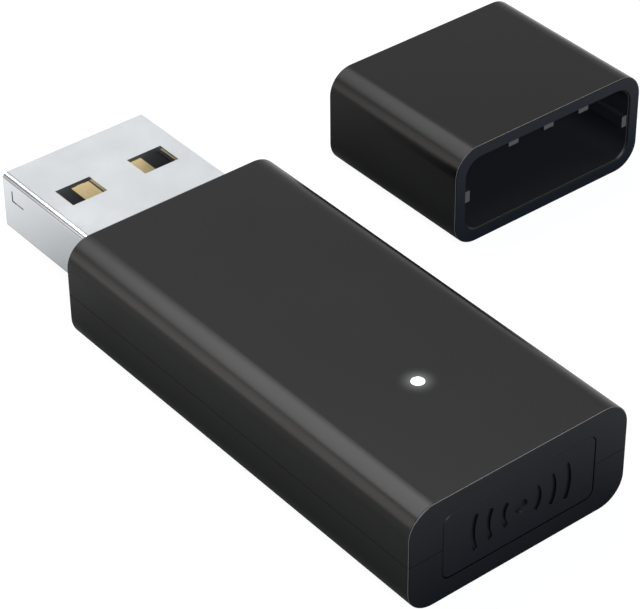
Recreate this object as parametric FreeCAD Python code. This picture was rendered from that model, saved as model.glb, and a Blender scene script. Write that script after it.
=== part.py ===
import FreeCAD, Part
import math
import os

# USB wireless network adapter with its pulled-off plug cap lying beside it.
# All sizes are millimetres. The origin is on the plug's axis, in the plane of the casing's front face.
# +X runs from there to the button end, the plug points along -X, +Z is up.

# Casing: two half shells that meet at z = 0
body_length = 34.64
body_width = 17.4
body_height = 7.9
body_corner_radius = 1.95
end_edge_radius = 0.12
wall = 1.2
front_wall = 1.2
rear_wall = 1.3
inner_corner_radius = 0.75
seam_width = 0.03
lip_thickness = 0.5
lip_height = 0.6
lip_clearance = 0.05
post_radius = 1.2
post_wall_overlap = 0.1
pin_radius = 0.55
pin_length = 1.1
pin_clearance = 0.04
socket_extra_depth = 0.2
front_post_x = 10.5
rear_post_from_end = 10.6
rib_thickness = 0.8
ledge_reach = 1.2
hold_down_reach = 0.9
front_ledge_setback = 1.4
post_to_ledge = 2.6
plug_clamp_width = 6.0
plug_stop_low = 0.9

# Plug, with the four contacts and the carrier inside its folded steel shell
plug_width = 12.0
plug_height = 4.5
plug_reach = 11.8
plug_tail = 7.0
plug_sheet = 0.3
plug_corner_radius = 0.4
plug_tip_bevel = 0.1
plug_clearance = 0.05
window_length = 2.15
window_width = 2.84
window_from_tip = 4.2
window_spacing = 6.0
seam_groove_width = 0.1
seam_groove_depth = 0.12
lance_from_tip = 1.1
lance_length = 1.4
lance_rise = 0.9
lance_slit = 0.14
tab_length = 2.0
tab_to_board_edge = 0.2
tab_start = 3.0
carrier_clearance = 0.04
tongue_top = 0.05
tongue_setback = 0.6
tongue_nose = 0.5
socket_depth = 9.6
carrier_rear_setback = 0.6
contact_width = 1.45
contact_thickness = 0.22
contact_proud = 0.1
power_contact_y = 3.5
data_contact_y = 1.0
power_contact_setback = 1.0
data_contact_setback = 2.0
contact_nose_length = 0.25
contact_nose_width = 0.6
contact_pocket = 0.2
contact_tail_drop_x = 0.55
contact_tail_length = 1.0
contact_bend_radius = 0.12

# Circuit board and the parts soldered to it
board_thickness = 0.8
board_side_clearance = 0.3
board_front = 2.2
board_notch_clearance = 0.1
board_to_button = 0.35
post_notch_clearance = 0.15
shield_start_gap = 0.5
shield_width = 10.4
shield_height = 1.45
shield_sheet = 0.15
shield_rim = 0.45
shield_solder_gap = 2.5
shield_to_resistors = 0.6
lid_clearance = 0.03
lid_skirt = 0.8
vent_radius = 0.35
vent_pitch = 1.4
vent_rows = 3
vent_columns = 5
chip_size = 5.0
chip_height = 0.85
chip_corner_cut = 0.4
crystal_length = 2.5
crystal_width = 2.0
crystal_height = 0.6
crystal_base_height = 0.3
crystal_lid_inset = 0.12
filter_length = 1.6
filter_width = 0.8
filter_height = 0.6
part_gap = 0.4
regulator_body_length = 2.9
regulator_body_width = 1.6
regulator_height = 1.1
regulator_lead_reach = 0.5
regulator_lead_width = 0.4
regulator_lead_pitch = 0.95
lead_thickness = 0.15
inductor_length = 2.5
inductor_width = 2.0
inductor_height = 1.2
inductor_bevel = 0.12
power_capacitor_length = 2.0
power_capacitor_width = 1.25
power_capacitor_height = 0.85
small_part_length = 1.0
small_part_width = 0.5
small_part_height = 0.4
terminal_length = 0.25
terminal_lap = 0.03
resistor_count = 4
resistor_pitch = 1.6
resistor_to_led = 3.1
bypass_columns = 4
bypass_pitch = 1.8
bypass_row_spacing = 3.2
memory_length = 3.0
memory_width = 2.0
memory_height = 0.6
memory_from_led = 1.0
memory_to_post = 0.4
antenna_length = 4.8
antenna_width = 1.8
antenna_height = 1.0
antenna_from_board_edge = 0.3
antenna_from_board_end = 0.4

# Status lamp and its light pipe
led_from_end = 9.29
led_y = -0.15
led_length = 1.6
led_width = 0.8
led_height = 0.5
led_carrier_height = 0.25
led_lens_radius = 0.3
light_hole_radius = 0.46
pipe_clearance = 0.02
pipe_recess = 0.03
pipe_flange_radius = 1.0
pipe_flange_thickness = 0.5
pipe_shaft_radius = 0.7
pipe_to_led = 0.1

# Pairing button in the rear wall, and the switch behind it
button_width = 12.1
button_corner_radius = 0.6
button_gap = 0.05
button_edge_bevel = 0.05
button_travel = 0.25
button_flange_clearance = 0.1
button_flange_lap_z = 0.22
button_flange_lap_y = 0.45
button_flange_thickness = 0.8
button_skin = 0.8
button_rim = 0.8
pusher_width = 2.4
pusher_height = 1.1
pusher_length = 0.7
spine_thickness = 0.8
switch_width = 4.7
switch_depth = 2.8
switch_height = 1.6
switch_floor = 0.25
switch_cheek = 0.55
switch_back = 0.4
switch_cover_sheet = 0.15
switch_cover_flap = 0.8
switch_flap_inset = 0.7
cover_clearance = 0.02
plunger_width = 1.8
plunger_height = 0.9
plunger_reach = 0.8
plunger_shoulder = 0.5
plunger_clearance = 0.06
plunger_tip_radius = 0.18
dome_thickness = 0.08
dome_height = 0.8
dome_rise = 0.35

# Cap, pulled off and laid down parallel to the plug
cap_length = 13.8
cap_wall = 1.0
cap_end_wall = 1.2
cap_inner_radius = 1.3
cap_edge_radius = 0.12
cap_inner_edge_bevel = 0.12
cap_shift_x = 8.42
cap_shift_y = 26.44
cap_rib_setback = 0.17
cap_rib_length = 9.0
cap_rib_straight = 5.0
cap_rib_ramp = 1.5
cap_side_rib_mouth_share = 0.27
cap_top_rib_mouth_share = 0.6
cap_side_rib_width = 0.9
cap_top_rib_width = 0.9
cap_top_rib_spacing = 3.3
cap_grip_clearance = 0.05

# Working values: how far a cut runs past a face, and how near counts as the same place
overcut = 1.0
near = 1e-4

# Places that follow from the sizes above
half_width = body_width / 2
half_height = body_height / 2
inner_half_width = half_width - wall
inner_half_height = half_height - wall
board_top = -switch_height / 2
board_bottom = board_top - board_thickness
board_half_width = inner_half_width - board_side_clearance
flange_face = body_length - rear_wall - button_flange_thickness
board_end = flange_face - button_travel - board_to_button
plunger_tip = flange_face - pusher_length
switch_front = plunger_tip - plunger_reach
chamber_rear = switch_front - switch_depth + switch_back
shoulder_front = switch_front - switch_cheek - plunger_clearance
shoulder_rear = chamber_rear + dome_rise + dome_thickness
led_x = body_length - led_from_end
resistor_x = led_x - resistor_to_led
rear_post_x = body_length - rear_post_from_end
post_y = inner_half_width + post_wall_overlap - post_radius
tab_end_y = board_half_width - tab_to_board_edge
memory_y = -(post_y - post_radius - memory_to_post - memory_length / 2)
tail_start = plug_tail + contact_tail_drop_x
power_row_x = (tail_start + contact_tail_length + front_post_x + post_radius) / 2
shield_start = front_post_x + post_radius + shield_start_gap
shield_end = resistor_x - small_part_length / 2 - shield_to_resistors
shield_centre_x = (shield_start + shield_end) / 2
button_half_height = inner_half_height - button_flange_clearance - button_flange_lap_z
carrier_half_width = plug_width / 2 - plug_sheet - carrier_clearance
carrier_half_height = plug_height / 2 - plug_sheet - carrier_clearance
contact_top = tongue_top + contact_proud
contacts = {
    "contact_vbus": (power_contact_y, power_contact_setback),
    "contact_data_minus": (data_contact_y, data_contact_setback),
    "contact_data_plus": (-data_contact_y, data_contact_setback),
    "contact_ground": (-power_contact_y, power_contact_setback),
}


def point(x, y, z):
    return FreeCAD.Vector(x, y, z)


def box(x_span, y_span, z_span):
    """A block between two values along each axis."""
    size = [abs(span[1] - span[0]) for span in (x_span, y_span, z_span)]
    corner = point(min(x_span), min(y_span), min(z_span))
    return Part.makeBox(size[0], size[1], size[2], corner)


def centred(x, y, z_low, length, width, height):
    """A block standing on z_low, centred on x and y."""
    return box((x - length / 2, x + length / 2), (y - width / 2, y + width / 2), (z_low, z_low + height))


def post(x, y, z_low, z_high, radius):
    return Part.makeCylinder(radius, z_high - z_low, point(x, y, z_low), point(0, 0, 1))


def hexagon_post(x, y, z_low, z_high, radius):
    """A six-sided post, its corners on the given radius."""
    angles = [math.radians(60 * corner) for corner in range(6)]
    outline = [(x + radius * math.cos(angle), y + radius * math.sin(angle)) for angle in angles]
    return plan_prism(outline, z_low, z_high)


def rounded_outline(half_w, half_h, radius):
    """A closed outline in the YZ plane at x = 0: four straight sides joined by quarter arcs."""
    corners = [(1, 1), (-1, 1), (-1, -1), (1, -1)]
    edges = []
    for index, (sy, sz) in enumerate(corners):
        centre_y, centre_z = sy * (half_w - radius), sz * (half_h - radius)
        on_side = point(0, centre_y + sy * radius, centre_z)
        on_top = point(0, centre_y, centre_z + sz * radius)
        middle = radius * math.sqrt(0.5)
        corner_point = point(0, centre_y + sy * middle, centre_z + sz * middle)
        first, last = (on_side, on_top) if index % 2 == 0 else (on_top, on_side)
        edges.append(Part.Arc(first, corner_point, last).toShape())
        next_y, next_z = corners[(index + 1) % 4]
        if index % 2 == 0:
            following = point(0, next_y * (half_w - radius), next_z * half_h)
        else:
            following = point(0, next_y * half_w, next_z * (half_h - radius))
        edges.append(Part.LineSegment(last, following).toShape())
    return Part.Wire(edges)


def rounded_bar(x_low, x_high, width, height, radius):
    """A bar along X whose section is a rounded rectangle about the plug's axis."""
    face = Part.Face(rounded_outline(width / 2, height / 2, radius))
    face.translate(point(x_low, 0, 0))
    return face.extrude(point(x_high - x_low, 0, 0))


def edges_in_plane(shape, x):
    """The edges that lie wholly in one plane across X."""
    found = []
    for edge in shape.Edges:
        bounds = edge.BoundBox
        if abs(bounds.XMin - x) < near and abs(bounds.XMax - x) < near:
            found.append(edge)
    return found


def prism(outline, y_low, y_high):
    """A solid from an outline of (x, z) points, between two values of y."""
    corners = [point(x, y_low, z) for x, z in outline]
    wire = Part.makePolygon(corners + corners[:1])
    return Part.Face(wire).extrude(point(0, y_high - y_low, 0))


def plan_prism(outline, z_low, z_high):
    """A solid from an outline of (x, y) points, between two values of z."""
    corners = [point(x, y, z_low) for x, y in outline]
    wire = Part.makePolygon(corners + corners[:1])
    return Part.Face(wire).extrude(point(0, 0, z_high - z_low))


def joined(shapes):
    return shapes[0].multiFuse(shapes[1:]).removeSplitter()


def casing_block():
    block = rounded_bar(0, body_length, body_width, body_height, body_corner_radius)
    rims = edges_in_plane(block, 0) + edges_in_plane(block, body_length)
    return block.makeFillet(end_edge_radius, rims)


def casing_cavity():
    return rounded_bar(
        front_wall,
        body_length - rear_wall,
        2 * inner_half_width,
        2 * inner_half_height,
        inner_corner_radius,
    )


def casing_openings():
    """What passes through the end walls: the plug in front, the button behind."""
    plug_hole = rounded_bar(
        -front_wall,
        front_wall,
        plug_width + 2 * plug_clearance,
        plug_height + 2 * plug_clearance,
        plug_corner_radius + plug_clearance,
    )
    button_hole = rounded_bar(
        body_length - rear_wall,
        body_length + rear_wall,
        button_width + 2 * button_gap,
        2 * (button_half_height + button_gap),
        button_corner_radius + button_gap,
    )
    return plug_hole.fuse(button_hole)


def lip_ring(growth, z_low, z_high):
    """The tongue that runs round the parting line, grown outwards by a clearance."""
    reach = lip_thickness + growth
    outer = box(
        (front_wall - reach, body_length - rear_wall + reach),
        (-inner_half_width - reach, inner_half_width + reach),
        (z_low, z_high),
    )
    inner = box(
        (front_wall, body_length - rear_wall),
        (-inner_half_width, inner_half_width),
        (z_low - overcut, z_high + overcut),
    )
    return outer.cut(inner)


def post_places():
    return [(x, side * post_y) for x in (front_post_x, rear_post_x) for side in (-1, 1)]


def ledge_places():
    """Where the board lies on the lower shell, along X."""
    return [
        board_front + front_ledge_setback,
        front_post_x - post_to_ledge,
        rear_post_x - post_to_ledge,
        board_end - front_ledge_setback,
    ]


def wall_ribs(x, reach, z_low, z_high, into_wall):
    """A pair of ribs standing in from the side walls at one x."""
    ribs = []
    for side in (-1, 1):
        inner, outer = side * (inner_half_width - reach), side * (inner_half_width + into_wall)
        ribs.append(box((x - rib_thickness / 2, x + rib_thickness / 2), (inner, outer), (z_low, z_high)))
    return ribs


def make_upper_shell():
    reach = body_length + body_width
    half = casing_block().common(box((-reach, reach), (-reach, reach), (seam_width, reach)))
    pieces = [half.cut(casing_cavity()), lip_ring(0, -lip_height, seam_width + lip_height)]
    ceiling = inner_half_height + post_wall_overlap
    for x, y in post_places():
        pieces.append(post(x, y, -lip_height, ceiling, post_radius))
    for x in ledge_places()[1:3]:
        pieces += wall_ribs(x, hold_down_reach, -lip_height, ceiling, post_wall_overlap)
        pieces += wall_ribs(x, hold_down_reach, board_top, -lip_height, -lip_clearance)
    for x in (front_wall + rib_thickness, plug_tail - rib_thickness):
        clamp_height = ceiling - plug_height / 2
        pieces.append(centred(x, 0, plug_height / 2, rib_thickness, plug_clamp_width, clamp_height))
    stop_x = plug_tail + plug_clearance + rib_thickness / 2
    stop_height = ceiling - plug_stop_low
    pieces.append(centred(stop_x, 0, plug_stop_low, rib_thickness, plug_clamp_width, stop_height))
    shell = joined(pieces).cut(casing_openings())
    for x, y in post_places():
        shell = shell.fuse(hexagon_post(x, y, -lip_height - pin_length, 0, pin_radius))
    light_hole = post(led_x, led_y, 0, body_height, light_hole_radius)
    return shell.cut(light_hole).removeSplitter()


def make_lower_shell():
    reach = body_length + body_width
    half = casing_block().common(box((-reach, reach), (-reach, reach), (-reach, 0)))
    half = half.cut(casing_cavity()).cut(lip_ring(lip_clearance, -lip_height, overcut))
    pieces = [half]
    floor = -inner_half_height - post_wall_overlap
    for x, y in post_places():
        pieces.append(post(x, y, floor, -lip_height, post_radius))
    for x in ledge_places():
        pieces += wall_ribs(x, ledge_reach, floor, board_bottom, post_wall_overlap)
    for x in (front_wall + rib_thickness, plug_tail - rib_thickness):
        pieces.append(centred(x, 0, floor, rib_thickness, plug_clamp_width, -plug_height / 2 - floor))
    shell = joined(pieces).cut(casing_openings())
    socket_low = -lip_height - pin_length - socket_extra_depth
    for x, y in post_places():
        shell = shell.cut(post(x, y, socket_low, 0, pin_radius + pin_clearance))
    return shell


def make_light_pipe():
    """A clear pin: its head fills the hole in the roof, its foot ends over the status lamp."""
    head_top = half_height - pipe_recess
    flange_low = inner_half_height - pipe_flange_thickness
    foot = board_top + led_height + pipe_to_led
    head = post(led_x, led_y, flange_low, head_top, light_hole_radius - pipe_clearance)
    flange = post(led_x, led_y, flange_low, inner_half_height, pipe_flange_radius)
    shaft = post(led_x, led_y, foot, flange_low, pipe_shaft_radius)
    return joined([head, flange, shaft])


def plug_windows(z_low, z_high):
    windows = []
    x_low = window_from_tip - plug_reach
    for side in (-1, 1):
        y_middle = side * window_spacing / 2
        y_span = (y_middle - window_width / 2, y_middle + window_width / 2)
        windows.append(box((x_low, x_low + window_length), y_span, (z_low, z_high)))
    return windows


def make_usb_plug_shell():
    """The folded steel sleeve, with two windows above and below and a solder tab on each side."""
    outer = rounded_bar(-plug_reach, plug_tail, plug_width, plug_height, plug_corner_radius)
    outer = outer.makeChamfer(plug_tip_bevel, edges_in_plane(outer, -plug_reach))
    inner = rounded_bar(
        -2 * plug_reach,
        2 * plug_tail,
        plug_width - 2 * plug_sheet,
        plug_height - 2 * plug_sheet,
        plug_corner_radius - plug_sheet,
    )
    pieces = [outer]
    for side in (-1, 1):
        y_span = (side * (plug_width / 2 - plug_sheet), side * tab_end_y)
        x_span = (tab_start, tab_start + tab_length)
        pieces.append(box(x_span, y_span, (board_top, board_top + plug_sheet)))
    shell = joined(pieces).cut(inner)
    for window in plug_windows(0, plug_height) + plug_windows(-plug_height, 0):
        shell = shell.cut(window)
    groove_low = -plug_height / 2 - plug_sheet
    groove = box(
        (-2 * plug_reach, 2 * plug_tail),
        (-seam_groove_width / 2, seam_groove_width / 2),
        (groove_low, -plug_height / 2 + seam_groove_depth),
    )
    shell = shell.cut(groove)
    lance_x = lance_from_tip - plug_reach
    lance_low = plug_height / 2 - 2 * lance_rise
    for side in (-1, 1):
        y_span = (side * (plug_width / 2 - 2 * plug_sheet), side * (plug_width / 2 + plug_sheet))
        foot = box((lance_x, lance_x + lance_length), y_span, (lance_low, lance_low + lance_slit))
        stem = box((lance_x, lance_x + lance_slit), y_span, (lance_low, lance_low + lance_rise))
        shell = shell.cut(foot).cut(stem)
    return shell


def contact_channel(y, setback):
    """The slot that one contact lies in: nose pocket, bed and the way out at the back."""
    bottom = contact_top - contact_thickness
    front = setback - plug_reach
    channel_width = contact_width + 2 * carrier_clearance
    bed = box(
        (front - contact_pocket, 2 * plug_tail),
        (y - channel_width / 2, y + channel_width / 2),
        (bottom, contact_top),
    )
    nose_width = contact_nose_width + 2 * carrier_clearance
    nose = box(
        (front - contact_nose_length - carrier_clearance, front),
        (y - nose_width / 2, y + nose_width / 2),
        (bottom, contact_top),
    )
    return bed.fuse(nose)


def make_usb_plug_insulator():
    """The moulded carrier: a tongue with a bevelled nose, and a block that closes the plug."""
    nose_x = tongue_setback - plug_reach
    block_x = socket_depth - plug_reach
    rear_x = plug_tail - carrier_rear_setback
    outline = [
        (nose_x, -carrier_half_height),
        (rear_x, -carrier_half_height),
        (rear_x, carrier_half_height),
        (block_x, carrier_half_height),
        (block_x, tongue_top),
        (nose_x + tongue_nose, tongue_top),
        (nose_x, tongue_top - tongue_nose),
    ]
    carrier = prism(outline, -carrier_half_width, carrier_half_width)
    long_edges = []
    for edge in carrier.Edges:
        bounds = edge.BoundBox
        on_side = abs(abs(bounds.YMax) - carrier_half_width) < near and bounds.YLength < near
        on_level = abs(abs(bounds.ZMax) - carrier_half_height) < near and bounds.ZLength < near
        if on_side and on_level:
            long_edges.append(edge)
    carrier = carrier.makeFillet(plug_corner_radius - plug_sheet, long_edges)
    for y, setback in contacts.values():
        carrier = carrier.cut(contact_channel(y, setback))
    return carrier


def make_contact(y, setback):
    """A stamped strip: narrow nose, flat bed, and a tail bent down to the board."""
    bottom = contact_top - contact_thickness
    front = setback - plug_reach
    foot_top = board_top + contact_thickness
    outline = [
        (front, bottom),
        (tail_start - contact_thickness, bottom),
        (tail_start - contact_thickness, board_top),
        (tail_start + contact_tail_length, board_top),
        (tail_start + contact_tail_length, foot_top),
        (tail_start, foot_top),
        (tail_start, contact_top),
        (front, contact_top),
    ]
    strip = prism(outline, y - contact_width / 2, y + contact_width / 2)
    bends = []
    for edge in strip.Edges:
        bounds = edge.BoundBox
        along_y = bounds.XLength < near and bounds.ZLength < near
        outer_bend = abs(bounds.XMin - tail_start) < near
        inner_bend = abs(bounds.XMin - tail_start + contact_thickness) < near
        if along_y and (outer_bend or inner_bend):
            bends.append(edge)
    strip = strip.makeFillet(contact_bend_radius, bends)
    nose = box(
        (front - contact_nose_length, front),
        (y - contact_nose_width / 2, y + contact_nose_width / 2),
        (bottom, contact_top),
    )
    return strip.fuse(nose).removeSplitter()


def make_circuit_board():
    """The laminate, notched for the plug and for the casing's four posts."""
    board = box((board_front, board_end), (-board_half_width, board_half_width), (board_bottom, board_top))
    notch_half = plug_width / 2 + board_notch_clearance
    notch_end = plug_tail + board_notch_clearance
    low, high = board_bottom - overcut, board_top + overcut
    board = board.cut(box((0, notch_end), (-notch_half, notch_half), (low, high)))
    for x, y in post_places():
        board = board.cut(post(x, y, low, high, post_radius + post_notch_clearance))
    return board


def soldered_part(x, y, along_x, length, width, height, underneath=False):
    """A two-ended component: a ceramic block whose metal ends wrap slightly round it."""
    core_length = length - 2 * terminal_length
    low = board_bottom - height if underneath else board_top
    span_x, span_y = (length, width) if along_x else (width, length)
    core_x, core_y = (core_length, width) if along_x else (width, core_length)
    shrink = 2 * terminal_lap
    ends = centred(x, y, low, span_x, span_y, height)
    if along_x:
        waist = centred(x, y, low, core_length, 2 * width, height)
        core = centred(x, y, low, core_x, core_y - shrink, height - terminal_lap)
    else:
        waist = centred(x, y, low, 2 * width, core_length, height)
        core = centred(x, y, low, core_x - shrink, core_y, height - terminal_lap)
    if underneath:
        core.translate(point(0, 0, terminal_lap))
    return joined([ends.cut(waist), core])


def make_radio_chip():
    """A leadless package whose pin-one corner is cut off."""
    half = chip_size / 2
    cut = chip_corner_cut
    outline = [
        (shield_centre_x - half + cut, -half),
        (shield_centre_x + half, -half),
        (shield_centre_x + half, half),
        (shield_centre_x - half, half),
        (shield_centre_x - half, -half + cut),
    ]
    return plan_prism(outline, board_top, board_top + chip_height)


def make_shield_frame():
    """The fence soldered round the radio: thin walls with an inward rim at the top."""
    half = shield_width / 2
    low, high = board_top, board_top + shield_height - shield_sheet
    outer = box((shield_start, shield_end), (-half, half), (low, high))
    inset = shield_sheet
    inner = box(
        (shield_start + inset, shield_end - inset),
        (-half + inset, half - inset),
        (low - overcut, high - shield_sheet),
    )
    rim = shield_rim
    mouth = box((shield_start + rim, shield_end - rim), (-half + rim, half - rim), (low, high + overcut))
    frame = outer.cut(inner).cut(mouth)
    feet_gap = box(
        (shield_centre_x - shield_solder_gap / 2, shield_centre_x + shield_solder_gap / 2),
        (-shield_width, shield_width),
        (low, low + shield_sheet),
    )
    return frame.cut(feet_gap)


def make_shield_lid():
    """The clip-on lid: a skirted tray over the fence, with a grid of six-sided vent holes."""
    half = shield_width / 2
    gap = lid_clearance
    top = board_top + shield_height
    outer = box(
        (shield_start - gap - shield_sheet, shield_end + gap + shield_sheet),
        (-half - gap - shield_sheet, half + gap + shield_sheet),
        (top - lid_skirt, top),
    )
    inner = box(
        (shield_start - gap, shield_end + gap),
        (-half - gap, half + gap),
        (top - 2 * lid_skirt, top - shield_sheet),
    )
    lid = outer.cut(inner)
    for column in range(vent_columns):
        for row in range(vent_rows):
            x = shield_centre_x + (column - (vent_columns - 1) / 2) * vent_pitch
            y = (row - (vent_rows - 1) / 2) * vent_pitch
            lid = lid.cut(hexagon_post(x, y, top - lid_skirt, top + overcut, vent_radius))
    return lid


def make_reference_crystal():
    """A metal-lidded ceramic package beside the radio chip."""
    y = chip_size / 2 + part_gap + crystal_width / 2
    base = centred(shield_centre_x, y, board_top, crystal_length, crystal_width, crystal_base_height)
    lid = centred(
        shield_centre_x,
        y,
        board_top + crystal_base_height,
        crystal_length - 2 * crystal_lid_inset,
        crystal_width - 2 * crystal_lid_inset,
        crystal_height - crystal_base_height,
    )
    return joined([base, lid])


def make_radio_filters():
    y = -chip_size / 2 - part_gap - filter_width / 2
    step = filter_length + part_gap
    parts = []
    for side in (-1, 1):
        x = shield_centre_x + side * step / 2
        parts.append(soldered_part(x, y, True, filter_length, filter_width, filter_height))
    return Part.makeCompound(parts)


def make_voltage_regulator():
    """A five-lead package: leads step out of the body's long sides down to the board."""
    y = power_capacitor_length / 2 + part_gap + regulator_body_length / 2
    half_body = regulator_body_width / 2
    standoff = lead_thickness
    body = centred(
        power_row_x,
        y,
        board_top + standoff,
        regulator_body_width,
        regulator_body_length,
        regulator_height - standoff,
    )
    pieces = [body]
    mid = board_top + regulator_height / 2
    leads = [(-1, -1), (-1, 0), (-1, 1), (1, -1), (1, 1)]
    for side, place in leads:
        root, knee = half_body - lead_thickness, half_body + lead_thickness
        tip = half_body + regulator_lead_reach
        outline = [
            (power_row_x + side * root, mid),
            (power_row_x + side * (knee + lead_thickness), mid),
            (power_row_x + side * (knee + lead_thickness), board_top + lead_thickness),
            (power_row_x + side * tip, board_top + lead_thickness),
            (power_row_x + side * tip, board_top),
            (power_row_x + side * knee, board_top),
            (power_row_x + side * knee, mid - lead_thickness),
            (power_row_x + side * root, mid - lead_thickness),
        ]
        lead_y = y + place * regulator_lead_pitch
        half_lead = regulator_lead_width / 2
        pieces.append(prism(outline, lead_y - half_lead, lead_y + half_lead))
    return joined(pieces)


def make_power_inductor():
    """A moulded choke: a block with its upper edges bevelled."""
    y = -power_capacitor_length / 2 - part_gap - inductor_width / 2
    block = centred(power_row_x, y, board_top, inductor_length, inductor_width, inductor_height)
    top = board_top + inductor_height
    upper = [edge for edge in block.Edges if edge.BoundBox.ZMin > top - near]
    return block.makeChamfer(inductor_bevel, upper)


def make_power_capacitors():
    step = power_capacitor_width + part_gap / 2
    parts = []
    for side in (-1, 1):
        x = power_row_x + side * step / 2
        size = (power_capacitor_length, power_capacitor_width, power_capacitor_height)
        parts.append(soldered_part(x, 0, False, *size))
    return Part.makeCompound(parts)


def make_bypass_capacitors():
    """Two rows under the board, below the radio chip."""
    parts = []
    for side in (-1, 1):
        for column in range(bypass_columns):
            x = shield_centre_x + (column - (bypass_columns - 1) / 2) * bypass_pitch
            y = side * bypass_row_spacing / 2
            size = (small_part_length, small_part_width, small_part_height)
            parts.append(soldered_part(x, y, True, *size, underneath=True))
    return Part.makeCompound(parts)


def make_series_resistors():
    parts = []
    for index in range(resistor_count):
        y = (index - (resistor_count - 1) / 2) * resistor_pitch
        size = (small_part_length, small_part_width, small_part_height)
        parts.append(soldered_part(resistor_x, y, True, *size))
    return Part.makeCompound(parts)


def make_memory_chip():
    """The chip that holds the settings, beside the lamp and clear of the rear post."""
    x = led_x - memory_from_led
    return centred(x, memory_y, board_top, memory_width, memory_length, memory_height)


def make_status_led():
    """A chip lamp: a flat carrier with a round lens on it, under the light pipe."""
    carrier = centred(led_x, led_y, board_top, led_length, led_width, led_carrier_height)
    lens = post(led_x, led_y, board_top + led_carrier_height, board_top + led_height, led_lens_radius)
    return joined([carrier, lens])


def make_chip_antenna(side):
    """A ceramic antenna at the board's corner, with a feed and an anchor terminal."""
    x = board_end - antenna_from_board_end - antenna_length / 2
    y = side * (board_half_width - antenna_from_board_edge - antenna_width / 2)
    return soldered_part(x, y, True, antenna_length, antenna_width, antenna_height)


def make_switch_base():
    """The switch's moulded body: floor, back and two cheeks that guide the plunger."""
    half = switch_width / 2
    top = board_top + switch_height - switch_cover_sheet
    block = box((chamber_rear - switch_back, switch_front), (-half, half), (board_top, top))
    channel_half = plunger_width / 2 + plunger_clearance
    shoulder_half = channel_half + plunger_shoulder
    channel = box(
        (chamber_rear, switch_front + overcut),
        (-channel_half, channel_half),
        (board_top + switch_floor, top + overcut),
    )
    chamber = box(
        (chamber_rear, switch_front - switch_cheek),
        (-shoulder_half, shoulder_half),
        (board_top + switch_floor, top + overcut),
    )
    return block.cut(channel).cut(chamber)


def make_switch_cover():
    """The sheet-metal lid, with a flap down each side of the base."""
    rear = switch_front - switch_depth
    half = switch_width / 2 + cover_clearance
    top = board_top + switch_height
    roof = box((rear, switch_front), (-half, half), (top - switch_cover_sheet, top))
    flap_x = (rear + switch_flap_inset, switch_front - switch_flap_inset)
    pieces = [roof]
    for side in (-1, 1):
        y_span = (side * half, side * (half + switch_cover_sheet))
        pieces.append(box(flap_x, y_span, (top - switch_cover_flap, top)))
    return joined(pieces)


def make_switch_plunger():
    """The sliding key: a nose that stands out of the switch and a shoulder that keeps it in."""
    half = plunger_width / 2
    low = -plunger_height / 2
    nose = box((shoulder_rear, plunger_tip), (-half, half), (low, -low))
    tip_edges = [edge for edge in edges_in_plane(nose, plunger_tip) if edge.BoundBox.YLength < near]
    nose = nose.makeFillet(plunger_tip_radius, tip_edges)
    wide = half + plunger_shoulder
    shoulder = box((shoulder_rear, shoulder_front), (-wide, wide), (low, -low))
    return joined([nose, shoulder])


def make_switch_dome():
    """The bowed spring leaf behind the plunger. Its crown touches the plunger's back."""
    half_span = plunger_width / 2
    sagitta_radius = (half_span ** 2 + dome_rise ** 2) / (2 * dome_rise)
    low = -dome_height / 2

    def arc_wire(x_crown, radius, span):
        end_x = x_crown - radius + math.sqrt(radius ** 2 - span ** 2)
        ends = [point(end_x, -span, low), point(end_x, span, low)]
        return Part.Arc(ends[0], point(x_crown, 0, low), ends[1]).toShape(), ends

    outer, outer_ends = arc_wire(shoulder_rear, sagitta_radius, half_span)
    inner, inner_ends = arc_wire(shoulder_rear - dome_thickness, sagitta_radius, half_span)
    first = Part.LineSegment(outer_ends[1], inner_ends[1]).toShape()
    second = Part.LineSegment(inner_ends[0], outer_ends[0]).toShape()
    wire = Part.Wire(Part.__sortEdges__([outer, first, inner, second]))
    return Part.Face(wire).extrude(point(0, 0, dome_height))


def make_pair_button():
    """The key in the rear wall: a thin moulding with a flange inside and a pusher at its middle."""
    flange_rear = flange_face + button_flange_thickness
    face = rounded_bar(
        flange_rear,
        body_length,
        button_width,
        2 * button_half_height,
        button_corner_radius,
    )
    face = face.makeChamfer(button_edge_bevel, edges_in_plane(face, body_length))
    half_y = button_width / 2 + button_flange_lap_y
    half_z = button_half_height + button_flange_lap_z
    flange = box((flange_face, flange_rear), (-half_y, half_y), (-half_z, half_z))
    button = joined([face, flange])
    hollow = box(
        (flange_face - overcut, body_length - button_skin),
        (-button_width / 2 + button_rim, button_width / 2 - button_rim),
        (-button_half_height + button_rim, button_half_height - button_rim),
    )
    pusher = box(
        (plunger_tip, body_length - button_skin / 2),
        (-pusher_width / 2, pusher_width / 2),
        (-pusher_height / 2, pusher_height / 2),
    )
    spine = box(
        (flange_face, body_length - button_skin / 2),
        (-button_width / 2 + button_rim / 2, button_width / 2 - button_rim / 2),
        (-spine_thickness / 2, spine_thickness / 2),
    )
    return joined([button.cut(hollow), pusher, spine])


def cap_rib(depth, mouth_share, wall_z, width):
    """A grip rib hanging from a wall: low at the mouth, then ramped up to its full depth."""
    mouth = -cap_rib_setback
    ramp_start = mouth - cap_rib_straight
    end = mouth - cap_rib_length
    outline = [
        (mouth, wall_z + cap_wall / 2),
        (mouth, wall_z - mouth_share * depth),
        (ramp_start, wall_z - mouth_share * depth),
        (ramp_start - cap_rib_ramp, wall_z - depth),
        (end, wall_z - depth),
        (end, wall_z + cap_wall / 2),
    ]
    return prism(outline, -width / 2, width / 2)


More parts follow.
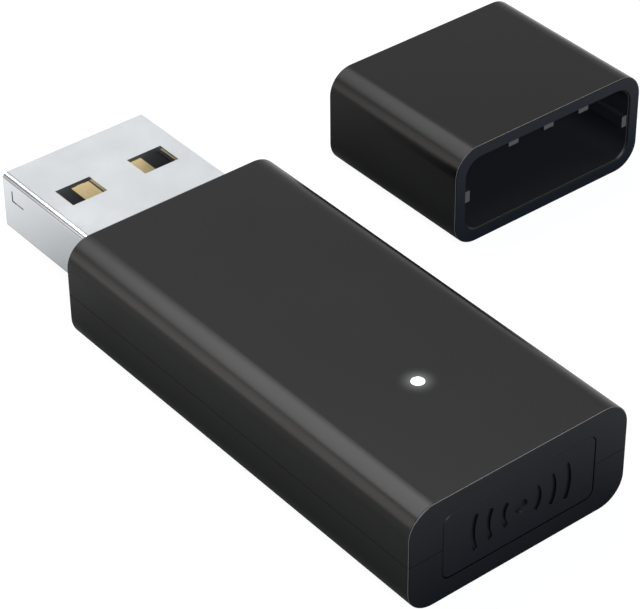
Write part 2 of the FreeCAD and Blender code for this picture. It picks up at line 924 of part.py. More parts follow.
def make_cap_shell():
    """The cap, built closed over the plug and then shifted to where it lies."""
    block = rounded_bar(-cap_length, 0, body_width, body_height, body_corner_radius)
    rims = edges_in_plane(block, 0) + edges_in_plane(block, -cap_length)
    block = block.makeFillet(cap_edge_radius, rims)
    half_y, half_z = half_width - cap_wall, half_height - cap_wall
    cavity = rounded_bar(cap_end_wall - cap_length, overcut, 2 * half_y, 2 * half_z, cap_inner_radius)
    cap = block.cut(cavity)
    mouth_edges = [edge for edge in edges_in_plane(cap, 0) if edge.BoundBox.YMax < half_y + near]
    cap = cap.makeChamfer(cap_inner_edge_bevel, mouth_edges)
    top_depth = half_z - plug_height / 2 - cap_grip_clearance
    side_depth = half_y - plug_width / 2 - cap_grip_clearance
    ribs = []
    for place in (-1, 0, 1):
        rib = cap_rib(top_depth, cap_top_rib_mouth_share, half_z, cap_top_rib_width)
        rib.translate(point(0, place * cap_top_rib_spacing, 0))
        ribs.append(rib)
    for angle in (90, -90):
        rib = cap_rib(side_depth, cap_side_rib_mouth_share, half_y, cap_side_rib_width)
        rib.rotate(point(0, 0, 0), point(1, 0, 0), angle)
        ribs.append(rib)
    cap = joined([cap] + ribs)
    cap.translate(point(cap_shift_x, cap_shift_y, 0))
    return cap


def build():
    pieces = {
        "upper_shell": make_upper_shell(),
        "lower_shell": make_lower_shell(),
        "light_pipe": make_light_pipe(),
        "usb_plug_shell": make_usb_plug_shell(),
        "usb_plug_insulator": make_usb_plug_insulator(),
        "circuit_board": make_circuit_board(),
        "radio_chip": make_radio_chip(),
        "shield_frame": make_shield_frame(),
        "shield_lid": make_shield_lid(),
        "reference_crystal": make_reference_crystal(),
        "radio_filters": make_radio_filters(),
        "voltage_regulator": make_voltage_regulator(),
        "power_inductor": make_power_inductor(),
        "power_capacitors": make_power_capacitors(),
        "bypass_capacitors": make_bypass_capacitors(),
        "series_resistors": make_series_resistors(),
        "memory_chip": make_memory_chip(),
        "status_led": make_status_led(),
        "antenna_left": make_chip_antenna(1),
        "antenna_right": make_chip_antenna(-1),
        "switch_base": make_switch_base(),
        "switch_cover": make_switch_cover(),
        "switch_plunger": make_switch_plunger(),
        "switch_dome": make_switch_dome(),
        "pair_button": make_pair_button(),
        "cap_shell": make_cap_shell(),
    }
    for name, (y, setback) in contacts.items():
        pieces[name] = make_contact(y, setback)
    return pieces


os.makedirs("parts", exist_ok=True)
for node, shape in build().items():
    shape.exportStep("parts/" + node + ".step")
    print(node, "solids", len(shape.Solids), "valid", shape.isValid(), "volume", round(shape.Volume, 3))
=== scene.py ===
import math

import bmesh
import bpy
from mathutils import Matrix, Vector


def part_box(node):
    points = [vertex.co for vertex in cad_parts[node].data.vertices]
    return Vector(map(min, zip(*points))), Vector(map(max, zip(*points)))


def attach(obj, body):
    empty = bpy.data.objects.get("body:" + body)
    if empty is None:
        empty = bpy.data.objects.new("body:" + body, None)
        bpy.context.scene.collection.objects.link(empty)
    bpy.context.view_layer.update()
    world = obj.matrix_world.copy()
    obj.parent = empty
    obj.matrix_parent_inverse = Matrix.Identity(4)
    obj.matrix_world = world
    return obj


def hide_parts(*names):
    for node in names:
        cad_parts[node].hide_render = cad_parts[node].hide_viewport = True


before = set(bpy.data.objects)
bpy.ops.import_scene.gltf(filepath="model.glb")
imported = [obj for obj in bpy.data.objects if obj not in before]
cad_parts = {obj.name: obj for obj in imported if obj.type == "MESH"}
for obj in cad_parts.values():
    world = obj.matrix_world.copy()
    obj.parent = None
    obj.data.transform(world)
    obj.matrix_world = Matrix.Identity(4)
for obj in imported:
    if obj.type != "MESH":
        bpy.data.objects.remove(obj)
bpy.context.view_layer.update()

MM = 0.001
WHITE = (1.0, 1.0, 1.0)
TOWARDS_X = (1.0, 0.0, 0.0)
TOWARDS_MINUS_Y = (0.0, -1.0, 0.0)
UP = (0.0, 0.0, 1.0)

# Camera: where the photograph was taken from, in the part's frame
CAMERA_AZIMUTH = 0.9001
CAMERA_ELEVATION = 0.64467
CAMERA_ROLL = -0.01004
CAMERA_DISTANCE = 184.70 * MM
CAMERA_TARGET = Vector((7.355, 6.598, -3.923)) * MM
CAMERA_LENS = 153.07
CAMERA_CLIP_NEAR = 0.01
CAMERA_CLIP_FAR = 10.0

# Wireless sign in the button: a dimple and three arcs to each side of it
SIGN_CENTRE_Y = 0.1 * MM
DIMPLE_RADIUS = 0.5 * MM
DIMPLE_DEPTH = 0.18 * MM
DIMPLE_TAPER = 0.84
DIMPLE_STEPS = 40
ARC_RADII = [1.45 * MM, 2.65 * MM, 3.85 * MM]
ARC_HALF_ANGLES = [38, 26, 21]
ARC_WIDTH = 0.36 * MM
ARC_DEPTH = 0.14 * MM
ARC_STEPS = 14
CUTTER_RISE = 0.1 * MM

# The button's mesh: what is welded before the sign is cut, and how its edges are smoothed and rounded
WELD_REACH = 0.0005 * MM
SMOOTH_BELOW = math.radians(30)
ROUND_ABOVE = math.radians(40)
ROUND_WIDTH = 0.02 * MM
ROUND_SEGMENTS = 2

# Range that one noise fills, and the narrower one that a sum of two fills
NOISE_RANGE = (0.3, 0.7)
SUM_RANGE = (0.35, 0.65)

# Moulded plastic: mottling of the colour, polish by handling, and spark-eroded grain
MOTTLING_SIZE = 6 * MM
MOTTLING_SHARE = 0.05
HANDLING_SIZE = 9 * MM
HANDLING_ROUGHNESS = 0.015
GRAIN_SIZE = 0.09 * MM
GRAIN_STRENGTH = 0.6
GRAIN_RELIEF = 0.0016 * MM

# Casing and cap: black plastic, with a painted highlight on the edges that turn from +X and a painted bluish
# sheen on the ends that face +X
CASING_BLACK = (0.0016, 0.0016, 0.0016)
CASING_ROUGHNESS = 0.25
CASING_SPECULAR = 0.175
PAINTED_EDGE_HIGHLIGHT_BAND = [(0.32, 0.0), (0.44, 1.0), (0.64, 1.0), (0.69, 0.0)]
PAINTED_EDGE_HIGHLIGHT_COLOUR = (0.13, 0.123, 0.112)
PAINTED_SHEEN_START = 0.9
PAINTED_SHEEN_COLOUR = (0.08, 0.11, 0.16)
CASING_PAINTED_SHEEN = 0.026
CAP_PAINTED_SHEEN = 0.07

# The cap's inside: its wall, how far the painted light on the inner walls starts from the mouth, and how deep
# the painted highlight on the ribs' ends reaches
CAP_WALL = 1.0 * MM
CAP_LIP = 0.16 * MM
CAP_RIB_HIGHLIGHT_DEPTH = 1.0 * MM
CAP_FADE = 0.1 * MM
CAP_SPECULAR = 0.13
CAP_INSIDE_PAINTED_LIGHT = (0.022, 0.022, 0.024)
PAINTED_RIB_HIGHLIGHT_BAND = [(0.5, 0.0), (0.8, 1.0)]
PAINTED_RIB_HIGHLIGHT_COLOUR = (0.082, 0.077, 0.070)

# Painted glow in the casing round the lamp's hole, an emission that fades out with distance
GLOW_START = 0.4 * MM
GLOW_END = 1.5 * MM
GLOW_POWER = 2.6
GLOW_LEVEL = 0.16
GLOW_COLOUR = (0.95, 0.98, 1.0)

# Rolled steel: streaks along the sheet, stains in the gloss and brighter rubbed edges
STREAK_STRETCH = (0.06, 1.0, 1.0)
STREAK_SIZE = 0.05 * MM
STREAK_SHARE = 0.45
STREAK_STRENGTH = 0.25
STREAK_RELIEF = 0.001 * MM
STAIN_SIZE = 3.0 * MM
STEEL_DULLER = 0.95
STEEL_BRIGHTER = 1.06
STEEL_SMOOTHER = 0.04
STEEL_ROUGHER = 0.05
STEEL_METALLIC = 0.94
STEEL_EDGE_WIDTH = 0.06 * MM

# How far a rounded surface normal agrees with the true one, on a flat and on a sharp edge
AGREES_ON_FLAT = 0.995
AGREES_ON_EDGE = 0.9

# Painted dark reflections: the dull lines where the plug's near side is folded
PAINTED_DARK_REFLECTION_BAND = [
    (0.02, 0.0), (0.1, 0.9), (0.2, 0.0), (0.5, 0.0),
    (0.6, 1.0), (0.7, 0.85), (0.93, 0.85), (0.99, 0.0),
]
PAINTED_DARK_REFLECTION_COLOUR = (0.12, 0.12, 0.13)

# Wear on the gold contacts
WIPE_STRETCH = (0.05, 1.0, 1.0)
WIPE_SIZE = 0.05 * MM

# Circuit board: weave of the glass, and tracks under the mask
WEAVE_SIZE = 0.35 * MM
TRACK_SIZE = 1.6 * MM
TRACK_WIDTH = 0.035
WEAVE_RANGE = (0.0, 0.8)

# World, floor and lamps: levels of light, sizes and distances in metres, and tints
WORLD_SEEN = 1.0
WORLD_FILL = 0.1
FLOOR_SEEN = 0.93
FLOOR_REFLECTED_NEAR = 0.04
FLOOR_REFLECTED_FAR = 0.98
FLOOR_PAINTED_SHADOW_REACH = 18 * MM
FLOOR_COLOUR = 0.12
FLOOR_MOTTLING = 0.02
FLOOR_TOOTH = 0.4 * MM
FLOOR_REACH = 2.0
LAMP_DISTANCE = 0.6
WARM_LIGHT = (1.0, 0.93, 0.88)
COOL_LIGHT = (0.70, 0.83, 1.0)


def span(node):
    """Lowest and highest corner of a CAD node."""
    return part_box(node)


def scaled(colour, factor):
    """A colour made darker or lighter."""
    return tuple(min(channel * factor, 1.0) for channel in colour)


def put_in_scene(name, data):
    """A new object in the scene."""
    thing = bpy.data.objects.new(name, data)
    bpy.context.scene.collection.objects.link(thing)
    return thing


class Tree:
    """A node tree, with short calls for adding nodes and joining them."""

    def __init__(self, tree):
        self.tree = tree

    def feed(self, socket, value):
        """A constant or another node's output on a socket."""
        if isinstance(value, bpy.types.NodeSocket):
            self.tree.links.new(value, socket)
        else:
            socket.default_value = value

    def add(self, kind, inputs, **settings):
        """A new node with its settings, and a value for each input named."""
        node = self.tree.nodes.new(kind)
        for name, value in settings.items():
            setattr(node, name, value)
        for name, value in inputs.items():
            self.feed(node.inputs[name], value)
        return node

    def calculate(self, operation, first, second):
        """The number that a sum on two values or outputs gives."""
        return self.add("ShaderNodeMath", {0: first, 1: second}, operation=operation).outputs["Value"]

    def remap(self, value, low, high, to_low, to_high):
        """A value carried from one range to another, and held at its ends."""
        ends = {"From Min": low, "From Max": high, "To Min": to_low, "To Max": to_high}
        return self.add("ShaderNodeMapRange", {"Value": value, **ends}).outputs["Result"]

    def light_path(self):
        """1 where the camera looks straight at a thing, and 1 where it is seen in metal, gloss or glass."""
        path = self.add("ShaderNodeLightPath", {}).outputs
        mirrored = self.calculate("MAXIMUM", path["Is Glossy Ray"], path["Is Transmission Ray"])
        return path["Is Camera Ray"], mirrored


class Nodes(Tree):
    """A material's node tree, with short calls for what the finishes need."""

    def __init__(self, name):
        self.material = bpy.data.materials.new(name)
        self.material.use_nodes = True
        super().__init__(self.material.node_tree)
        self.shader = self.tree.nodes["Principled BSDF"]
        coordinates = self.add("ShaderNodeTexCoord", {})
        self.place = coordinates.outputs["Object"]
        self.facing = coordinates.outputs["Normal"]

    def surface(self, **values):
        """Constants or outputs on the shader's own sockets."""
        for name, value in values.items():
            self.feed(self.shader.inputs[name.replace("_", " ")], value)

    def stretched(self, factors):
        """Object coordinates with each axis multiplied, for grain that runs one way."""
        return self.add("ShaderNodeMapping", {"Vector": self.place, "Scale": factors}).outputs["Vector"]

    def noise(self, size, detail=3.0, roughness=0.55, vector=None):
        """Noise whose blotches are about size metres across."""
        place = self.place if vector is None else vector
        inputs = {"Vector": place, "Scale": 1 / size, "Detail": detail, "Roughness": roughness}
        return self.add("ShaderNodeTexNoise", inputs).outputs["Fac"]

    def cells(self, size):
        """Distance to the nearest of many scattered points, about size metres apart."""
        return self.add("ShaderNodeTexVoronoi", {"Vector": self.place, "Scale": 1 / size}).outputs["Distance"]

    def ramp(self, value, stops):
        """A colour from stops of (place, colour)."""
        node = self.add("ShaderNodeValToRGB", {"Fac": value})
        elements = node.color_ramp.elements
        while len(elements) < len(stops):
            elements.new(0.5)
        for element, (place, colour) in zip(elements, stops):
            element.position = place
            element.color = (*colour, 1.0)
        return node.outputs["Color"]

    def tint(self, noise, first, second, fills=NOISE_RANGE):
        """A colour that goes from the first to the second with a noise."""
        return self.ramp(noise, list(zip(fills, (first, second))))

    def vary(self, noise, low, high, fills=NOISE_RANGE):
        """A level that goes from low to high with a noise."""
        return self.remap(noise, *fills, low, high)

    def vector_math(self, operation, values):
        """A vector operation's outputs, from values or outputs in their order."""
        return self.add("ShaderNodeVectorMath", dict(enumerate(values)), operation=operation).outputs

    def vector(self, operation, *values):
        """The vector that a vector operation gives."""
        return self.vector_math(operation, values)["Vector"]

    def measure(self, operation, *values):
        """The number that a vector operation gives."""
        return self.vector_math(operation, values)["Value"]

    def facing_band(self, direction, stops):
        """A grey from stops of (place, level), read by how far the surface faces in one direction."""
        facing = self.measure("DOT_PRODUCT", self.facing, direction)
        return self.ramp(facing, [(place, (level,) * 3) for place, level in stops])

    def distance_outside(self, low, high):
        """How far a point lies outside the box between two corners."""
        middle, half = (low + high) / 2, (high - low) / 2
        folded = self.vector("ABSOLUTE", self.vector("SUBTRACT", self.place, middle))
        beyond = self.vector("SUBTRACT", folded, half)
        return self.measure("LENGTH", self.vector("MAXIMUM", beyond, (0.0, 0.0, 0.0)))

    def mix(self, factor, first, second):
        """A colour between two."""
        node = self.add("ShaderNodeMix", {"Factor": factor}, data_type="RGBA")
        colours = [socket for socket in node.inputs if socket.type == "RGBA"]
        for socket, value in zip(colours, (first, second)):
            self.feed(socket, (*value, 1.0) if isinstance(value, tuple) else value)
        return [socket for socket in node.outputs if socket.type == "RGBA"][0]

    def paint(self, factor, colour):
        """Lay a colour over the base colour, as far as the factor says."""
        plain = self.shader.inputs["Base Color"].links[0].from_socket
        self.surface(Base_Color=self.mix(factor, plain, colour))

    def bump(self, height, strength, distance):
        """Relief from a height of 0 to 1 that stands distance metres high."""
        inputs = {"Height": height, "Strength": strength, "Distance": distance}
        self.surface(Normal=self.add("ShaderNodeBump", inputs).outputs["Normal"])

    def worn_edges(self, width):
        """1 on sharp outer edges, 0 on flats."""
        rounded = self.add("ShaderNodeBevel", {"Radius": width}, samples=4).outputs["Normal"]
        sharp = self.add("ShaderNodeNewGeometry", {}).outputs["Normal"]
        agreement = self.measure("DOT_PRODUCT", rounded, sharp)
        return self.remap(agreement, AGREES_ON_FLAT, AGREES_ON_EDGE, 0.0, 1.0)


def moulded_plastic(name, colour, roughness, specular, grain=GRAIN_SIZE):
    """Satin moulded plastic: fine spark-eroded grain, faint mottling and slightly polished patches."""
    nodes = Nodes(name)
    mottling = nodes.noise(MOTTLING_SIZE, detail=4.0)
    handling = nodes.noise(HANDLING_SIZE, detail=5.0, roughness=0.6)
    darker, lighter = scaled(colour, 1 - MOTTLING_SHARE), scaled(colour, 1 + MOTTLING_SHARE)
    nodes.surface(
        Base_Color=nodes.tint(mottling, darker, lighter),
        Roughness=nodes.vary(handling, roughness - HANDLING_ROUGHNESS, roughness + HANDLING_ROUGHNESS),
        Specular_IOR_Level=specular,
    )
    nodes.bump(nodes.noise(grain, detail=2.0), GRAIN_STRENGTH, GRAIN_RELIEF)
    return nodes


def casing_plastic(painted_sheen=CASING_PAINTED_SHEEN):
    """The moulded plastic, with a painted highlight on edges that turn from +X and a faint painted bluish
    sheen on the ends that face +X.
    """
    nodes = moulded_plastic("casing_plastic", CASING_BLACK, CASING_ROUGHNESS, CASING_SPECULAR)
    # painted highlight: paler colour on the rounded edges round the ends that face +X
    nodes.paint(nodes.facing_band(TOWARDS_X, PAINTED_EDGE_HIGHLIGHT_BAND), PAINTED_EDGE_HIGHLIGHT_COLOUR)
    # painted sheen: faint bluish colour on the faces that face +X
    nodes.paint(nodes.facing_band(TOWARDS_X, [(PAINTED_SHEEN_START, 0.0), (1.0, painted_sheen)]), PAINTED_SHEEN_COLOUR)
    return nodes


def cap_plastic():
    """The casing's plastic, with painted light on the inner walls, drawn paler, and a painted highlight on
    the ribs' ends that face +X.
    """
    nodes = casing_plastic(painted_sheen=CAP_PAINTED_SHEEN)
    nodes.material.name = "casing_plastic_cap"
    low, high = span("cap_shell")
    low, high = low + Vector((0.0, CAP_WALL, CAP_WALL)), high - Vector((CAP_LIP, CAP_WALL, CAP_WALL))
    inside = nodes.remap(nodes.distance_outside(low, high), 0.0, CAP_FADE, 1.0, 0.0)
    # painted light: the inner walls drawn paler, standing in for light that reaches into the cap
    nodes.paint(inside, CAP_INSIDE_PAINTED_LIGHT)
    # painted highlight: paler colour on the ribs' ends that face +X near the mouth
    low.x = high.x - CAP_RIB_HIGHLIGHT_DEPTH
    mouth = nodes.remap(nodes.distance_outside(low, high), 0.0, CAP_FADE, 1.0, 0.0)
    front = nodes.facing_band(TOWARDS_X, PAINTED_RIB_HIGHLIGHT_BAND)
    nodes.paint(nodes.calculate("MULTIPLY", mouth, front), PAINTED_RIB_HIGHLIGHT_COLOUR)
    nodes.surface(Specular_IOR_Level=CAP_SPECULAR)
    return nodes


def lit_casing():
    """The casing's plastic with a painted glow round the lamp's hole, an emission that fades with distance
    from it.
    """
    nodes = casing_plastic()
    nodes.material.name = "casing_plastic_lit"
    low, high = span("light_pipe")
    lamp = Vector(((low.x + high.x) / 2, (low.y + high.y) / 2, span("upper_shell")[1].z))
    near = nodes.remap(nodes.measure("DISTANCE", nodes.place, lamp), GLOW_START, GLOW_END, 1.0, 0.0)
    # painted glow: the casing's own emission, strongest at the lamp's hole
    glow = nodes.calculate("MULTIPLY", nodes.calculate("POWER", near, GLOW_POWER), GLOW_LEVEL)
    nodes.surface(Emission_Strength=glow, Emission_Color=(*GLOW_COLOUR, 1.0))
    return nodes


def button_plastic():
    blue_black = (0.0038, 0.0044, 0.0062)
    return moulded_plastic("button_plastic", blue_black, roughness=0.32, specular=0.17)


def carrier_plastic():
    black = (0.05, 0.05, 0.056)
    return moulded_plastic("carrier_plastic", black, roughness=0.5, specular=0.2, grain=0.06 * MM)


def chip_epoxy():
    black = (0.020, 0.020, 0.022)
    return moulded_plastic("chip_epoxy", black, roughness=0.55, specular=0.3, grain=0.04 * MM)


def switch_plastic():
    black = (0.030, 0.030, 0.032)
    return moulded_plastic("switch_plastic", black, roughness=0.45, specular=0.3, grain=0.05 * MM)


def plunger_plastic():
    ivory = (0.55, 0.53, 0.48)
    return moulded_plastic("plunger_plastic", ivory, roughness=0.42, specular=0.4, grain=0.05 * MM)


def light_pipe_clear():
    """The clear pin, lit from below, so that its whole face glows white."""
    nodes = Nodes("light_pipe_clear")
    cloud = nodes.noise(0.5 * MM, detail=2.0)
    nodes.surface(
        Base_Color=nodes.tint(cloud, (0.9, 0.93, 0.95), (0.97, 0.98, 1.0)),
        Emission_Strength=nodes.vary(cloud, 1.25, 1.45),
        Emission_Color=(0.97, 0.99, 1.0, 1.0),
        Roughness=0.25,
    )
    return nodes


def led_lens():
    """The lamp's own lens, a warmer white under the light pipe."""
    nodes = Nodes("led_lens")
    cloud = nodes.noise(0.2 * MM)
    nodes.surface(
        Base_Color=nodes.tint(cloud, (0.75, 0.74, 0.62), (0.88, 0.87, 0.76)),
        Emission_Strength=nodes.vary(cloud, 0.6, 0.8),
        Emission_Color=(1.0, 1.0, 0.96, 1.0),
        Roughness=0.3,
    )
    return nodes


def rolled_steel(name, colour, roughness):
    """Plated sheet steel: faint rolling streaks, small stains in the gloss, and brighter rubbed edges."""
    nodes = Nodes(name)
    lines = nodes.noise(STREAK_SIZE, detail=4.0, vector=nodes.stretched(STREAK_STRETCH))
    stains = nodes.noise(STAIN_SIZE, detail=4.0)
    line_part = nodes.calculate("MULTIPLY", lines, STREAK_SHARE)
    both = nodes.calculate("ADD", line_part, nodes.calculate("MULTIPLY", stains, 1 - STREAK_SHARE))
    body = nodes.tint(both, scaled(colour, STEEL_DULLER), colour, SUM_RANGE)
    nodes.surface(
        Base_Color=nodes.mix(nodes.worn_edges(STEEL_EDGE_WIDTH), body, scaled(colour, STEEL_BRIGHTER)),
        Roughness=nodes.vary(both, roughness - STEEL_SMOOTHER, roughness + STEEL_ROUGHER, SUM_RANGE),
        Metallic=STEEL_METALLIC,
    )
    nodes.bump(lines, STREAK_STRENGTH, STREAK_RELIEF)
    return nodes


def plug_steel():
    """The plug's sheet, with painted dark reflections as dull lines where the fold on its near side begins
    and ends.
    """
    nodes = rolled_steel("plug_steel", (0.65, 0.675, 0.698), roughness=0.16)
    # painted dark reflections: darker colour on the near side's fold, on the side facing -Y only
    nodes.paint(nodes.facing_band(TOWARDS_MINUS_Y, PAINTED_DARK_REFLECTION_BAND), PAINTED_DARK_REFLECTION_COLOUR)
    return nodes


def shield_steel():
    return rolled_steel("shield_steel", (0.80, 0.80, 0.79), roughness=0.34)


def spring_steel():
    return rolled_steel("spring_steel", (0.78, 0.76, 0.72), roughness=0.26)


def contact_gold():
    """Gold plating over a stamped strip, rubbed duller where a socket's springs have wiped it."""
    nodes = Nodes("contact_gold")
    wiped = nodes.noise(WIPE_SIZE, detail=3.0, vector=nodes.stretched(WIPE_STRETCH))
    nodes.surface(
        Base_Color=nodes.tint(wiped, (0.80, 0.60, 0.29), (0.93, 0.74, 0.41)),
        Roughness=nodes.vary(wiped, 0.26, 0.42),
        Metallic=0.95,
    )
    nodes.bump(wiped, strength=0.2, distance=0.001 * MM)
    return nodes


def board_laminate():
    """Dark green solder mask with the weave of the glass below it and copper tracks under the mask."""
    nodes = Nodes("board_laminate")
    weave = nodes.cells(WEAVE_SIZE)
    tracks = nodes.add("ShaderNodeTexBrick", {
        "Vector": nodes.place,
        "Scale": 1 / TRACK_SIZE,
        "Color1": (0.012, 0.070, 0.030, 1.0),
        "Color2": (0.016, 0.090, 0.038, 1.0),
        "Mortar": (0.030, 0.150, 0.060, 1.0),
        "Mortar Size": TRACK_WIDTH,
    })
    nodes.surface(Base_Color=tracks.outputs["Color"], Roughness=nodes.vary(weave, 0.30, 0.42, WEAVE_RANGE))
    nodes.bump(weave, strength=0.3, distance=0.004 * MM)
    return nodes


def ceramic_part():
    """Fired ceramic, pale brown and faintly speckled."""
    nodes = Nodes("ceramic_part")
    speckle = nodes.noise(0.08 * MM, detail=3.0)
    nodes.surface(
        Base_Color=nodes.tint(speckle, (0.36, 0.27, 0.19), (0.46, 0.36, 0.26)),
        Roughness=nodes.vary(speckle, 0.42, 0.55),
    )
    nodes.bump(speckle, strength=0.3, distance=0.002 * MM)
    return nodes


def finishes():
    """The finish for each of the record's slots, made by the function that has the slot's name."""
    makers = [
        casing_plastic, button_plastic, light_pipe_clear, plug_steel, carrier_plastic, contact_gold,
        board_laminate, chip_epoxy, shield_steel, ceramic_part, led_lens, switch_plastic, plunger_plastic,
        spring_steel,
    ]
    return {maker.__name__: maker().material for maker in makers}


def dress(materials):
    """Every CAD node gets its slot's finish, and upper shell and cap their own kinds of the casing's."""
    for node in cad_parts.values():
        slots = [material.name for material in node.data.materials]
        for index, name in enumerate(slots):
            node.data.materials[index] = materials[name.split(".")[0]]
    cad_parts["upper_shell"].data.materials[0] = lit_casing().material
    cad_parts["cap_shell"].data.materials[0] = cap_plastic().material


def over_face(origin, reach, height, angle):
    """A point over the button's face, by its distance and angle from the sign's centre."""
    return (origin.x + height, origin.y + reach * math.cos(angle), origin.z + reach * math.sin(angle))


def skin(mesh, rings):
    """Faces between rings that have as many points each, and a lid at either end."""
    for first, second in zip(rings, rings[1:]):
        for index in range(len(first)):
            following = (index + 1) % len(first)
            mesh.faces.new((first[index], first[following], second[following], second[index]))
    mesh.faces.new(rings[0][::-1])
    mesh.faces.new(rings[-1])


def arc_cutter(mesh, origin, radius, start, end):
    """A square bar bent along an arc in the button's face."""
    inner, outer = radius - ARC_WIDTH / 2, radius + ARC_WIDTH / 2
    section = [(inner, CUTTER_RISE), (outer, CUTTER_RISE), (outer, -ARC_DEPTH), (inner, -ARC_DEPTH)]
    rings = []
    for step in range(ARC_STEPS + 1):
        angle = start + (end - start) * step / ARC_STEPS
        rings.append([mesh.verts.new(over_face(origin, reach, height, angle)) for reach, height in section])
    skin(mesh, rings)


def dimple_cutter(mesh, origin):
    """A plug that cuts a round recess with steep walls and a flat floor in the button's middle."""
    floor_radius = DIMPLE_RADIUS * DIMPLE_TAPER
    profile = [(DIMPLE_RADIUS, CUTTER_RISE), (DIMPLE_RADIUS, 0.0), (floor_radius, -DIMPLE_DEPTH)]
    angles = [2 * math.pi * step / DIMPLE_STEPS for step in range(DIMPLE_STEPS)]
    rings = []
    for reach, height in profile:
        rings.append([mesh.verts.new(over_face(origin, reach, height, angle)) for angle in angles])
    skin(mesh, rings)


def make_sign_cutter():
    """The sign's arcs and dimple as one mesh, standing in the button's face."""
    low, high = span("pair_button")
    origin = Vector((high.x, SIGN_CENTRE_Y, (low.z + high.z) / 2))
    mesh = bmesh.new()
    for radius, half_angle in zip(ARC_RADII, ARC_HALF_ANGLES):
        half = math.radians(half_angle)
        for middle in (0.0, math.pi):
            arc_cutter(mesh, origin, radius, middle - half, middle + half)
    dimple_cutter(mesh, origin)
    bmesh.ops.recalc_face_normals(mesh, faces=mesh.faces)
    data = bpy.data.meshes.new("sign_cutter")
    mesh.to_mesh(data)
    mesh.free()
    return put_in_scene("sign_cutter", data)


def engrave(piece, cutter):
    """Cut one mesh out of another for good."""
    weld = piece.modifiers.new("weld", "WELD")
    weld.merge_threshold = WELD_REACH
    engraving = piece.modifiers.new("engraving", "BOOLEAN")
    engraving.operation = "DIFFERENCE"
    engraving.solver = "EXACT"
    engraving.object = cutter
    evaluated = piece.evaluated_get(bpy.context.evaluated_depsgraph_get())
    data = bpy.data.meshes.new_from_object(evaluated)
    data.name = piece.name
    piece.modifiers.clear()
    piece.data = data
    bpy.data.objects.remove(cutter)


def smooth(data):
    """Smooth shading with sharp edges, in place of the normals that came with the mesh."""
    if "custom_normal" in data.attributes:
        data.attributes.remove(data.attributes["custom_normal"])
    for polygon in data.polygons:
        polygon.material_index = 0
        polygon.use_smooth = True
    data.set_sharp_from_angle(angle=SMOOTH_BELOW)


def soften(piece):
    """Small rounds on hard edges, so that they catch the light."""
    bevel = piece.modifiers.new("edge_round", "BEVEL")
    bevel.width = ROUND_WIDTH
    bevel.segments = ROUND_SEGMENTS
    bevel.limit_method = "ANGLE"
    bevel.angle_limit = ROUND_ABOVE
    bevel.harden_normals = True


def make_button(material):
    """The button as the CAD has it, with the wireless sign engraved in its face."""
    button = put_in_scene("pair_button_engraved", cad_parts["pair_button"].data.copy())
    engrave(button, make_sign_cutter())
    button.data.materials.clear()
    button.data.materials.append(material)
    smooth(button.data)
    soften(button)
    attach(button, "pair_button")
    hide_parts("pair_button")


def floor_glow(nodes):
    """White to the camera; in reflections the floor carries a painted contact shadow, dimmer where casing and
    cap stand close to it.
    """
    near = nodes.calculate(
        "MINIMUM",
        nodes.distance_outside(*span("lower_shell")),
        nodes.distance_outside(*span("cap_shell")),
    )
    # painted shadow: the floor's glow in reflections falls off close to casing and cap
    level = nodes.remap(near, 0.0, FLOOR_PAINTED_SHADOW_REACH, FLOOR_REFLECTED_NEAR, FLOOR_REFLECTED_FAR)
    straight, mirrored = nodes.light_path()
    seen = nodes.calculate("MULTIPLY", straight, FLOOR_SEEN)
    return nodes.calculate("ADD", seen, nodes.calculate("MULTIPLY", mirrored, level))


def make_floor():
    """A plain pale floor at the height of the casing's underside."""
    mesh = bpy.data.meshes.new("floor")
    height = span("lower_shell")[0].z
    turns = [(-1, -1), (1, -1), (1, 1), (-1, 1)]
    mesh.from_pydata([(x * FLOOR_REACH, y * FLOOR_REACH, height) for x, y in turns], [], [(0, 1, 2, 3)])
    floor = put_in_scene("floor", mesh)
    nodes = Nodes("floor_paper")
    darker, lighter = (FLOOR_COLOUR * (1 - FLOOR_MOTTLING),) * 3, (FLOOR_COLOUR * (1 + FLOOR_MOTTLING),) * 3
    nodes.surface(
        Base_Color=nodes.tint(nodes.noise(FLOOR_TOOTH), darker, lighter),
        Roughness=0.9,
        Specular_IOR_Level=0.1,
        Emission_Color=(*WHITE, 1.0),
        Emission_Strength=floor_glow(nodes),
    )
    mesh.materials.append(nodes.material)


def make_world():
    """White to the camera, in metal and in glass, and a plain soft fill for everything else."""
    world = bpy.data.worlds.new("studio")
    world.use_nodes = True
    bpy.context.scene.world = world
    tree = Tree(world.node_tree)
    seen = tree.calculate("MAXIMUM", *tree.light_path())
    background = world.node_tree.nodes["Background"]
    background.inputs["Color"].default_value = (*WHITE, 1.0)
    tree.feed(background.inputs["Strength"], tree.remap(seen, 0.0, 1.0, WORLD_FILL, WORLD_SEEN))


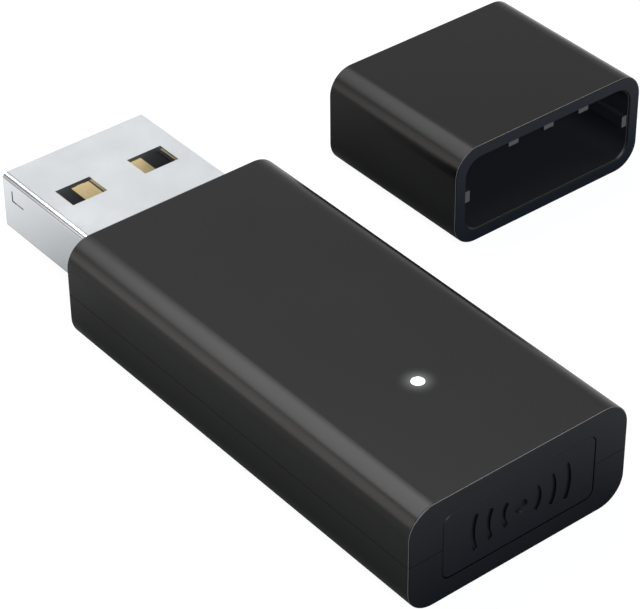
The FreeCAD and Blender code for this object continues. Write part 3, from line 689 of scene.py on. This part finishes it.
def soft_box(name, towards, size, radiance, colour=WHITE, upright=UP):
    """A flat lamp that faces the object, at a place given by its direction from it."""
    lamp = bpy.data.lights.new(name, "AREA")
    lamp.shape = "RECTANGLE"
    lamp.size, lamp.size_y = size
    lamp.energy = radiance * math.pi * size[0] * size[1]
    lamp.color = colour
    holder = put_in_scene(name, lamp)
    direction = Vector(towards).normalized()
    holder.location = CAMERA_TARGET + direction * LAMP_DISTANCE
    holder.rotation_mode = "QUATERNION"
    side = Vector(upright).cross(direction).normalized()
    holder.rotation_quaternion = Matrix((side, direction.cross(side), direction)).transposed().to_quaternion()


def make_lights():
    """Soft boxes: a broad one overhead, and one each for the top, long side, ends and far rims."""
    soft_box("key_box", towards=(-0.50, -0.165, 0.85), size=(0.62, 0.30), radiance=7.0, upright=TOWARDS_X)
    soft_box("top_glow", towards=(-0.45, 0.42, 0.79), size=(0.16, 0.16), radiance=2.2)
    soft_box("side_band", towards=(-0.585, -0.765, 0.30), size=(0.20, 0.31), radiance=3.7, colour=WARM_LIGHT)
    soft_box("end_fill", towards=(0.90, -0.15, 0.40), size=(0.40, 0.40), radiance=8.0, colour=COOL_LIGHT)
    soft_box("rim_light", towards=(0.20, 0.50, 0.84), size=(0.14, 0.14), radiance=6.2)


def make_camera():
    """The camera, turned by its roll about its line of sight."""
    across = math.cos(CAMERA_ELEVATION)
    back = Vector((
        math.sin(CAMERA_AZIMUTH) * across,
        -math.cos(CAMERA_AZIMUTH) * across,
        math.sin(CAMERA_ELEVATION),
    ))
    right = (-back).cross(Vector(UP)).normalized()
    up = back.cross(right)
    turned_right = right * math.cos(CAMERA_ROLL) + up * math.sin(CAMERA_ROLL)
    turned_up = up * math.cos(CAMERA_ROLL) - right * math.sin(CAMERA_ROLL)
    data = bpy.data.cameras.new("photo_camera")
    data.lens = CAMERA_LENS
    data.clip_start = CAMERA_CLIP_NEAR
    data.clip_end = CAMERA_CLIP_FAR
    camera = put_in_scene("photo_camera", data)
    rotation = Matrix((turned_right, turned_up, back)).transposed()
    camera.matrix_world = Matrix.Translation(CAMERA_TARGET + back * CAMERA_DISTANCE) @ rotation.to_4x4()
    bpy.context.scene.camera = camera


materials = finishes()
dress(materials)
make_button(materials["button_plastic"])
make_floor()
make_world()
make_lights()
make_camera()
bpy.context.scene.view_settings.view_transform = "Standard"
